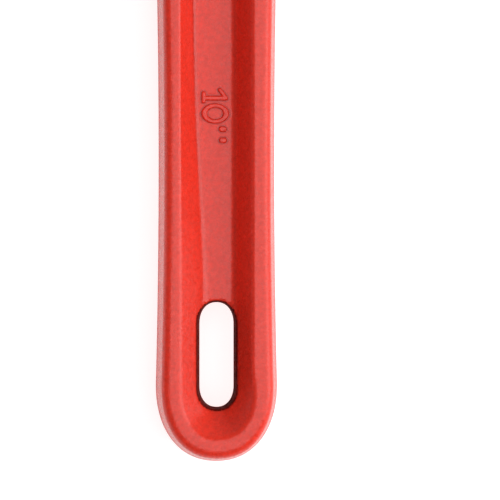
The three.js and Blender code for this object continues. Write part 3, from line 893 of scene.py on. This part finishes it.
def forged_steel(jaws):
    """Black oxide over forged steel: blotchy scale, and bare metal where the teeth and corners have
    rubbed, which is where the bend times a broken-up noise is high."""
    finish, tree, shader, place = new_finish("jaw_steel")
    oxide = tuple(jaws.oxide)
    blotch = noise(tree, place, 140, 6.0, 0.62)
    tone = ramp(tree, blotch, [(0.32, shade_of(oxide, 0.75)), (0.68, shade_of(oxide, 1.7))])
    worn = add(tree, "ShaderNodeMath", operation="MULTIPLY")
    tree.links.new(bend_read(tree), worn.inputs[0])
    tree.links.new(noise(tree, place, 700, 4.0, 0.7), worn.inputs[1])
    bare = ramp(tree, worn.outputs[0], [(0.42, grey(0)), (0.75, grey(1))])
    feed(
        tree, shader,
        base_color=turned_to(tree, bare, tone, tuple(jaws.bare_steel)),
        metallic=0.9,
        roughness=ramp(tree, blotch, [(0.3, grey(0.32)), (0.7, grey(0.52))]),
        normal=bumped(tree, 0.8, 0.00006, noise(tree, place, 420, 5.0, 0.6)),
    )
    return finish


def turned_steel(name, colour, rough_low, rough_high):
    """Machined steel: fine tool marks and a slight stain."""
    finish, tree, shader, place = new_finish(name)
    stain = noise(tree, place, 190, 5.0, 0.6)
    marks = noise(tree, place, 2200, 3.0, 0.6)
    feed(
        tree, shader,
        base_color=ramp(tree, stain, [(0.3, shade_of(colour, 0.72)), (0.7, shade_of(colour, 1.2))]),
        metallic=1.0,
        roughness=ramp(tree, marks, [(0.3, grey(rough_low)), (0.7, grey(rough_high))]),
        normal=bumped(tree, 0.5, 0.00002, marks),
    )
    return finish


def pale_floor(stage):
    """A plain matt floor that also glows faintly, so that it stays pale under soft light."""
    finish, tree, shader, place = new_finish("floor")
    soft = noise(tree, place, 3.0, 2.0)
    dull, pale = shade_of(stage.floor, 0.97), tuple(stage.floor)
    feed(
        tree, shader,
        base_color=ramp(tree, soft, [(0.0, dull), (1.0, pale)]),
        roughness=0.9,
        specular_ior_level=0.1,
        emission_color=(1, 1, 1, 1),
        emission_strength=stage.floor_glow,
    )
    return finish


# Settings


class WRENCH_PG_casting(bpy.types.PropertyGroup):
    detail: FloatProperty(
        name="Detail", description="Spacing of the casting's surface points",
        default=0.00056, min=0.0003, unit="LENGTH",
    )
    web_thickness: FloatProperty(
        name="Web", description="Thickness of the web between the grip's channels",
        default=0.0055, unit="LENGTH",
    )
    edge_radius: FloatProperty(
        name="Edge radius", description="Rounding of the grip's outer edges",
        default=0.0015, unit="LENGTH",
    )
    number_height: FloatProperty(
        name="Number height", description="How far the size number stands up",
        default=0.00042, unit="LENGTH",
    )
    grain_height: FloatProperty(
        name="Grain height", description="Depth of the enamel's orange peel",
        default=0.00004, precision=6, unit="LENGTH",
    )
    enamel: FloatVectorProperty(
        name="Enamel", description="Colour of the paint",
        default=(0.80, 0.036, 0.018), subtype="COLOR", min=0, max=1,
    )


class WRENCH_PG_jaws(bpy.types.PropertyGroup):
    detail: FloatProperty(
        name="Detail", description="Spacing of the jaws' surface points",
        default=0.00036, min=0.0002, unit="LENGTH",
    )
    tooth_pitch: FloatProperty(
        name="Tooth pitch", description="Distance from tooth to tooth", default=0.003, unit="LENGTH"
    )
    tooth_depth: FloatProperty(
        name="Tooth depth", description="Height of a tooth", default=0.0016, unit="LENGTH"
    )
    oxide: FloatVectorProperty(
        name="Oxide", description="Colour of the black oxide",
        default=(0.034, 0.034, 0.038), subtype="COLOR", min=0, max=1,
    )
    bare_steel: FloatVectorProperty(
        name="Bare steel", description="Colour of rubbed steel",
        default=(0.42, 0.41, 0.40), subtype="COLOR", min=0, max=1,
    )


class WRENCH_PG_screw(bpy.types.PropertyGroup):
    crest_radius: FloatProperty(
        name="Crest radius", description="Outside radius of the thread",
        default=0.008, unit="LENGTH",
    )
    root_radius: FloatProperty(
        name="Root radius", description="Radius at the bottom of the thread",
        default=0.0064, unit="LENGTH",
    )
    pitch: FloatProperty(
        name="Pitch", description="Climb of the thread in one turn", default=0.004, unit="LENGTH"
    )
    flat_thickness: FloatProperty(
        name="Across flats", description="Thickness of the shank between its flat sides",
        default=0.011, unit="LENGTH",
    )
    nut_radius: FloatProperty(
        name="Nut radius", description="Outside radius of the nut", default=0.0108, unit="LENGTH"
    )
    nut_height: FloatProperty(
        name="Nut height", description="Height of the nut along the screw",
        default=0.017, unit="LENGTH",
    )
    nut_flutes: IntProperty(
        name="Flutes", description="Grip flutes round the nut", default=24, min=6
    )
    nut_steel: FloatVectorProperty(
        name="Nut steel", description="Colour of the nut",
        default=(0.36, 0.35, 0.34), subtype="COLOR", min=0, max=1,
    )


class WRENCH_PG_springs(bpy.types.PropertyGroup):
    leaf_thickness: FloatProperty(
        name="Leaf", description="Thickness of the flat spring", default=0.0008, unit="LENGTH"
    )
    leaf_width: FloatProperty(
        name="Leaf width", description="Width of the flat spring", default=0.009, unit="LENGTH"
    )
    coil_radius: FloatProperty(
        name="Coil radius", description="Radius of the coil spring to its wire's middle",
        default=0.00285, unit="LENGTH",
    )
    wire_radius: FloatProperty(
        name="Wire radius", description="Radius of the coil spring's wire",
        default=0.00045, unit="LENGTH",
    )
    blued: FloatVectorProperty(
        name="Blued steel", description="Colour of the springs",
        default=(0.10, 0.11, 0.14), subtype="COLOR", min=0, max=1,
    )
    pin_steel: FloatVectorProperty(
        name="Pin steel", description="Colour of the pins and the rivet",
        default=(0.52, 0.51, 0.50), subtype="COLOR", min=0, max=1,
    )


class WRENCH_PG_stage(bpy.types.PropertyGroup):
    floor: FloatVectorProperty(
        name="Floor", description="Colour of the floor",
        default=(0.55, 0.55, 0.55), subtype="COLOR", min=0, max=1,
    )
    floor_glow: FloatProperty(
        name="Floor glow", description="Light given off by the floor", default=0.78
    )
    key_power: FloatProperty(
        name="Key", description="Power of the large light on the mouth's side",
        default=24.5, unit="POWER",
    )
    top_power: FloatProperty(
        name="Top", description="Power of the large light overhead", default=10.3, unit="POWER"
    )
    wall: FloatProperty(
        name="Wall", description="Brightness of the surround near the floor", default=1.3
    )
    ceiling: FloatProperty(
        name="Ceiling", description="Brightness of the surround overhead", default=0.13
    )
    view_width: FloatProperty(
        name="View width", description="Width of the view at the grip", default=0.1, unit="LENGTH"
    )
    lens: FloatProperty(name="Lens", description="Focal length", default=135.0, unit="CAMERA")
    lean: FloatProperty(
        name="Lean", description="How far the camera leans towards the screw's side",
        default=math.radians(3), unit="ROTATION",
    )


class WRENCH_PG_settings(bpy.types.PropertyGroup):
    casting: PointerProperty(type=WRENCH_PG_casting)
    jaws: PointerProperty(type=WRENCH_PG_jaws)
    screw: PointerProperty(type=WRENCH_PG_screw)
    springs: PointerProperty(type=WRENCH_PG_springs)
    stage: PointerProperty(type=WRENCH_PG_stage)


# Operators


class WRENCH_OT_handle(bpy.types.Operator):
    """Cast the handle with its housing, and raise the size number on its web"""

    bl_idname = "wrench.handle"
    bl_label = "Handle"

    def execute(self, context):
        casting = context.scene.wrench.casting
        finish = red_enamel(casting)
        field = casting_field(casting)
        half = housing_thick / 2 + 1
        # A skin is looked for in a box with a little room round its piece.
        shape = skin(field, (-45.3, -1.4, -half), (26.2, 183.0, half), 1000 * casting.detail)
        corners, quads = shape[:2]
        handle = make_piece(
            "wrench_handle", shape, finish, "handle", ["handle"],
            on_screw=False, normals=slope_of(field, corners, 0.12),
        )
        # Round the hang hole's rim the enamel gets the same painted shade as in a valley, and the
        # wall has
        #         its own coat, painted dark for shade.
        hole = hang_hole_field()
        rim = RIM_SHADE * np.exp(-((hole(*corners.T) / RIM_WIDTH) ** 2))
        store(handle, "bend", bend_of(field, corners) - rim)
        on_wall = hole(*corners[quads].mean(1).T) < HOLE_EDGE / 2
        handle.data.materials.append(hole_enamel(casting))
        handle.data.polygons.foreach_set("material_index", on_wall.astype(np.int32))

        web = 500 * casting.web_thickness
        shape = skin(number_field(casting), (-4.2, 63.0, web - 1.1), (3.4, 76.0, web + 1.0), 0.13)
        mark = make_piece(
            "size_number", shape, finish, "handle", [], on_screw=False, crease=50
        )
        # Painted shade: the enamel darkens round the feet of the strokes, kept as a bend below
        # zero.
        foot = (number_plan(*shape[0][:, :2].T) - FOOT_AT) / FOOT_WIDTH
        store(mark, "bend", -FOOT_SHADE * np.exp(-(foot**2)))
        return {"FINISHED"}


class WRENCH_OT_jaws(bpy.types.Operator):
    """Forge the hook jaw with its threaded shank, and the heel jaw"""

    bl_idname = "wrench.jaws"
    bl_label = "Jaws"

    def execute(self, context):
        jaws, screw = context.scene.wrench.jaws, context.scene.wrench.screw
        finish = forged_steel(jaws)
        step = 1000 * jaws.detail
        hook_box = (-9.5, 20.5, -8.6), (51.8, 68.5, 8.6)
        heel_box = (11.3, 8.9, -9.1), (47.2, 32.2, 9.1)
        for name, field, (low, high), body, node in (
            ("hook_head", hook_field(jaws), hook_box, "hook_jaw", "hook_jaw"),
            ("heel_block", heel_field(jaws), heel_box, "handle", "heel_jaw"),
        ):
            shape = skin(field, low, high, step)
            piece = make_piece(name, shape, finish, body, [node], crease=38)
            store(piece, "bend", bend_of(field, shape[0], 0.7))
        shape = lattice(screw_points(screw))
        shank = make_piece(
            "hook_screw", shape, finish, "hook_jaw", ["hook_jaw"], crease=38
        )
        radius = np.hypot(shape[0][:, 0], shape[0][:, 2])
        store(shank, "bend", 0.9 * smooth((radius - 7.2) / 0.8))
        return {"FINISHED"}


class WRENCH_OT_nut(bpy.types.Operator):
    """Turn the adjusting nut, fluted outside and threaded inside"""

    bl_idname = "wrench.nut"
    bl_label = "Adjusting nut"

    def execute(self, context):
        screw = context.scene.wrench.screw
        finish = turned_steel("nut_steel", tuple(screw.nut_steel), 0.26, 0.42)
        shape = lattice(nut_points(screw), loop=True)
        make_piece("nut_turned", shape, finish, "nut", ["adjusting_nut"], crease=40)
        return {"FINISHED"}


class WRENCH_OT_springs(bpy.types.Operator):
    """Bend the flat spring, wind the coil spring and turn the rivet that joins them"""

    bl_idname = "wrench.springs"
    bl_label = "Springs"

    def execute(self, context):
        springs = context.scene.wrench.springs
        blued = turned_steel("spring_steel", tuple(springs.blued), 0.2, 0.36)
        ground = turned_steel("pin_steel", tuple(springs.pin_steel), 0.22, 0.4)
        leaf, coil, rivet = leaf_points(springs), coil_points(springs), rivet_points()
        made = {}
        for name, points, finish, slot, body, node in (
            ("leaf_strip", leaf, blued, "spring_steel", "spring_leaf", "flat_spring"),
            ("coil_wire", coil, blued, "spring_steel", "handle", "coil_spring"),
            ("rivet_turned", rivet, ground, "pin_steel", "spring_leaf", "spring_rivet"),
        ):
            made[name] = make_piece(name, lattice(points), finish, body, [node], crease=40)
        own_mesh(made["coil_wire"])
        return {"FINISHED"}


class WRENCH_OT_pins(bpy.types.Operator):
    """Turn the two pins that hold the heel jaw and the flat spring"""

    bl_idname = "wrench.pins"
    bl_label = "Pins"

    def execute(self, context):
        finish = bpy.data.materials["pin_steel"]
        for name, node, pin in (
            ("heel_pin_ground", "heel_jaw_pin", HEEL_PIN),
            ("spring_pin_ground", "spring_pin", SPRING_PIN),
        ):
            shape = lattice(pin_points(*pin))
            make_piece(name, shape, finish, "handle", [node], crease=40)
        return {"FINISHED"}


class WRENCH_OT_stage(bpy.types.Operator):
    """Lay the floor, hang the lights and set up the camera over the grip"""

    bl_idname = "wrench.stage"
    bl_label = "Stage"

    def execute(self, context):
        stage = context.scene.wrench.stage
        reach = 4.0
        mesh = bpy.data.meshes.new("floor")
        ways = ((-1, -1), (1, -1), (1, 1), (-1, 1))
        mesh.from_pydata([(reach * x, reach * y, 0) for x, y in ways], [], [(0, 1, 2, 3)])
        mesh.materials.append(pale_floor(stage))
        floor = bpy.data.objects.new("floor", mesh)
        context.scene.collection.objects.link(floor)

        for name, power, size, at in (
            ("key", stage.key_power, 1.5, (1.6, 0.05, 1.1)),
            ("top", stage.top_power, 1.2, (0.22, 0.0, 1.4)),
        ):
            light = bpy.data.lights.new(name, "AREA")
            light.shape = "SQUARE"
            light.size = size
            light.energy = power
            lamp = bpy.data.objects.new(name, light)
            lamp.location = at
            lamp.rotation_mode = "QUATERNION"
            lamp.rotation_quaternion = (-lamp.location).to_track_quat("-Z", "Y")
            lamp.visible_camera = False
            context.scene.collection.objects.link(lamp)

        world = bpy.data.worlds.new("surround")
        world.use_nodes = True
        tree = world.node_tree
        way = add(tree, "ShaderNodeTexCoord").outputs["Generated"]
        height = add(tree, "ShaderNodeSeparateXYZ", vector=way).outputs["Z"]
        shade = ramp(tree, height, [(0.02, grey(stage.wall)), (0.24, grey(stage.ceiling))])
        tree.links.new(shade, tree.nodes["Background"].inputs["Color"])
        context.scene.world = world
        context.scene.view_settings.view_transform = "Standard"

        sensor = 36
        lens = bpy.data.cameras.new("camera")
        lens.lens = stage.lens
        lens.sensor_width = sensor
        lens.clip_start = 0.01
        camera = bpy.data.objects.new("camera", lens)
        distance = stage.lens / sensor * stage.view_width
        target = np.array([6.5, 42.7, 6.0]) + corner  # right of the grip's centreline
        back = np.array([-math.sin(stage.lean), 0, math.cos(stage.lean)])
        camera.location = target / 1000 + back * distance
        camera.rotation_euler = (0, -stage.lean, 0)
        context.scene.collection.objects.link(camera)
        context.scene.camera = camera
        return {"FINISHED"}


class WRENCH_PT_panel(bpy.types.Panel):
    """Builds the wrench piece by piece"""

    bl_idname = "WRENCH_PT_panel"
    bl_label = "Pipe wrench"
    bl_space_type = "VIEW_3D"
    bl_region_type = "UI"
    bl_category = "Wrench"

    def draw(self, context):
        settings = context.scene.wrench
        for heading, group, operators in (
            ("Handle", settings.casting, ["wrench.handle"]),
            ("Jaws", settings.jaws, ["wrench.jaws"]),
            ("Screw and nut", settings.screw, ["wrench.nut"]),
            ("Springs and pins", settings.springs, ["wrench.springs", "wrench.pins"]),
            ("Stage", settings.stage, ["wrench.stage"]),
        ):
            box = self.layout.box()
            box.label(text=heading)
            for name in group.__annotations__:
                box.prop(group, name)
            for operator in operators:
                box.operator(operator)


classes = (
    WRENCH_PG_casting,
    WRENCH_PG_jaws,
    WRENCH_PG_screw,
    WRENCH_PG_springs,
    WRENCH_PG_stage,
    WRENCH_PG_settings,
    WRENCH_OT_handle,
    WRENCH_OT_jaws,
    WRENCH_OT_nut,
    WRENCH_OT_springs,
    WRENCH_OT_pins,
    WRENCH_OT_stage,
    WRENCH_PT_panel,
)


def register():
    for one in classes:
        bpy.utils.register_class(one)
    bpy.types.Scene.wrench = PointerProperty(type=WRENCH_PG_settings)


def unregister():
    del bpy.types.Scene.wrench
    for one in reversed(classes):
        bpy.utils.unregister_class(one)


def main():
    register()
    bpy.ops.wrench.handle()
    bpy.ops.wrench.jaws()
    bpy.ops.wrench.nut()
    bpy.ops.wrench.springs()
    bpy.ops.wrench.pins()
    bpy.ops.wrench.stage()
    bpy.context.view_layer.update()


if __name__ == "__main__":
    main()
